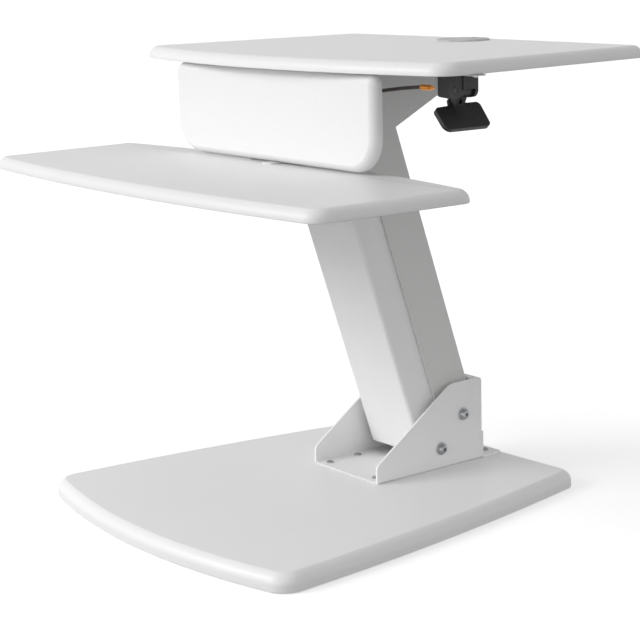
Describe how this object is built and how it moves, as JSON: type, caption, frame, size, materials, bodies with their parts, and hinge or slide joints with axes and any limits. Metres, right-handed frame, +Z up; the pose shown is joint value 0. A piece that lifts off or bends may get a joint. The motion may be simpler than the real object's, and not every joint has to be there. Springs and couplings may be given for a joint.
{
  "type": "standing desk converter",
  "caption": "Sit-stand desk converter: worktop and lower keyboard tray on a leaning parallel-link column over a flat base board, with a gas strut and a release paddle.",
  "frame": {"origin": "on the desk surface under the middle of the object's bounding box, on its left-right symmetry plane", "axes": "+Z up, +X to the user's right, -Y towards the user"},
  "size_m": [0.6984, 0.5914, 0.5753],
  "materials": {
    "white_board": "satin white laminate over board",
    "white_steel": "fine powder coat",
    "zinc": "zinc plated",
    "grommet_grey": "satin grey plastic",
    "rubber": "matt",
    "nylon": "matt nylon",
    "dark_metal": "black paint",
    "rod_chrome": "polished",
    "black_plastic": "fine texture",
    "cable_jacket": "smooth vinyl",
    "brass": "turned"
  },
  "bodies": {
    "base": {"base_board": "white_board", "base_feet": "rubber", "base_bracket": "white_steel", "rear_angle": "white_steel", "base_screws": "zinc", "angle_screws": "zinc", "angle_bolts": "zinc", "lower_bolts": "zinc", "lower_washers": "zinc", "lower_nuts": "zinc", "lower_sleeves": "zinc"},
    "front_link": {"front_arm": "white_steel", "front_arm_bushes": "nylon"},
    "rear_link": {"rear_arm": "white_steel", "rear_arm_bushes": "nylon"},
    "strut_body": {"gas_cylinder": "dark_metal", "gas_lower_eye": "zinc"},
    "strut_rod": {"gas_rod": "rod_chrome", "release_head": "dark_metal", "trigger_pin": "zinc"},
    "trigger": {"release_trigger": "zinc"},
    "valve_pin": {"release_pin": "zinc"},
    "paddle": {"lever_paddle": "black_plastic", "cable_nipple": "zinc"},
    "cap": {"grommet_cap": "grommet_grey"},
    "carriage": {"carriage": "white_steel", "carriage_screws": "zinc", "upper_bolts": "zinc", "upper_washers": "zinc", "upper_nuts": "zinc", "upper_sleeves": "zinc", "work_surface": "white_board", "grommet_ring": "grommet_grey", "front_panel": "white_board", "panel_screws": "zinc", "keyboard_tray": "white_board", "tray_backing_plate": "white_steel", "tray_bolts": "zinc", "lever_bracket": "zinc", "lever_screws": "zinc", "lever_housing": "black_plastic", "lever_pin": "zinc", "lever_spring": "zinc", "cable_sheath": "cable_jacket", "cable_adjuster": "brass", "cable_wire": "zinc", "cable_anchor": "zinc", "trigger_wire": "zinc"}
  },
  "joints": [
    {"name": "lift", "type": "hinge", "parent": "base", "child": "front_link", "pos_m": [0, 0.14125, 0.05], "axis": [1, 0, 0], "range_deg": [0, 69]},
    {"name": "rear_link_pivot", "type": "hinge", "parent": "base", "child": "rear_link", "pos_m": [0, 0.18025, 0.09], "axis": [1, 0, 0], "range_deg": [0, 69]},
    {"name": "carriage_level", "type": "hinge", "parent": "front_link", "child": "carriage", "pos_m": [0, 0.00079, 0.47225], "axis": [1, 0, 0], "range_deg": [-69, 0]},
    {"name": "strut_swing", "type": "hinge", "parent": "base", "child": "strut_body", "pos_m": [0, 0.14125, 0.05], "axis": [1, 0, 0], "range_deg": [0, 69.18]},
    {"name": "strut_stroke", "type": "slide", "parent": "strut_body", "child": "strut_rod", "axis": [0, -0.2144, 0.9767], "range_m": [-0.0633, 0]},
    {"name": "release_squeeze", "type": "hinge", "parent": "carriage", "child": "paddle", "pos_m": [0.279, -0.00875, 0.54], "axis": [0, -1, 0], "range_deg": [0, 20], "stiffness_Nm_per_rad": 0.6, "springref_deg": -20.05},
    {"name": "trigger_press", "type": "hinge", "parent": "strut_rod", "child": "trigger", "pos_m": [0, 0.02006, 0.51816], "axis": [-1, 0, 0], "range_deg": [0, 5]},
    {"name": "valve_press", "type": "slide", "parent": "strut_rod", "child": "valve_pin", "axis": [0, 0.2144, -0.9767], "range_m": [0, 0.0018]},
    {"name": "grommet_turn", "type": "hinge", "parent": "carriage", "child": "cap", "pos_m": [0, 0.24475, 0.573], "axis": [0, 0, 1], "continuous": true}
  ],
  "couplings": [
    {"joint": "rear_link_pivot", "follows": "lift", "ratio": 1},
    {"joint": "carriage_level", "follows": "lift", "ratio": -1},
    {"joint": "strut_swing", "follows": "lift", "ratio": 1.0026},
    {"joint": "strut_stroke", "follows": "lift", "m_per_rad": -0.052538},
    {"joint": "trigger_press", "follows": "release_squeeze", "ratio": 0.25},
    {"joint": "valve_press", "follows": "release_squeeze", "m_per_rad": 0.00515}
  ]
}
